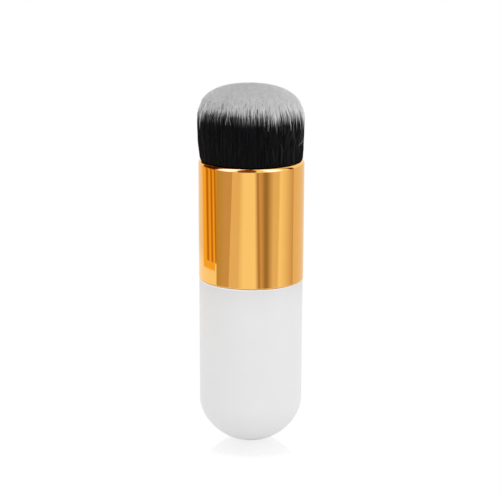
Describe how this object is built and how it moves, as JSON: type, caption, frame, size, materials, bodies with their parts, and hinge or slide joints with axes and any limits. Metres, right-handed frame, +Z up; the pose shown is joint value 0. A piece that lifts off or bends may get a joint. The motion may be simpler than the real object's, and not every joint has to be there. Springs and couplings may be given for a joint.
{
  "type": "makeup brush",
  "caption": "Short, thick makeup brush with a dense domed tuft, a metal tube ferrule and a round-ended handle that stands on its small flat foot.",
  "frame": {"origin": "centre of the flat foot under the rounded end of the handle", "axes": "+Z up the axis of the brush, from the foot through the ferrule to the crown of the tuft; the crown leans a little to -X"},
  "size_m": [0.0288, 0.0288, 0.1003],
  "materials": {
    "handle": "satin",
    "ferrule": "polished",
    "bristles": "matte",
    "inner_plastic": "matte",
    "steel": "satin",
    "ring": "satin",
    "glue": "satin",
    "resin": "gloss"
  },
  "bodies": {
    "root": {"handle_shell": "handle", "weight_adhesive": "glue", "counterweight": "steel", "neck_insert": "inner_plastic", "ferrule_adhesive": "glue", "ferrule": "ferrule", "tuft_cup": "inner_plastic", "root_resin": "resin", "root_ring": "ring", "bristles": "bristles"}
  },
  "joints": []
}
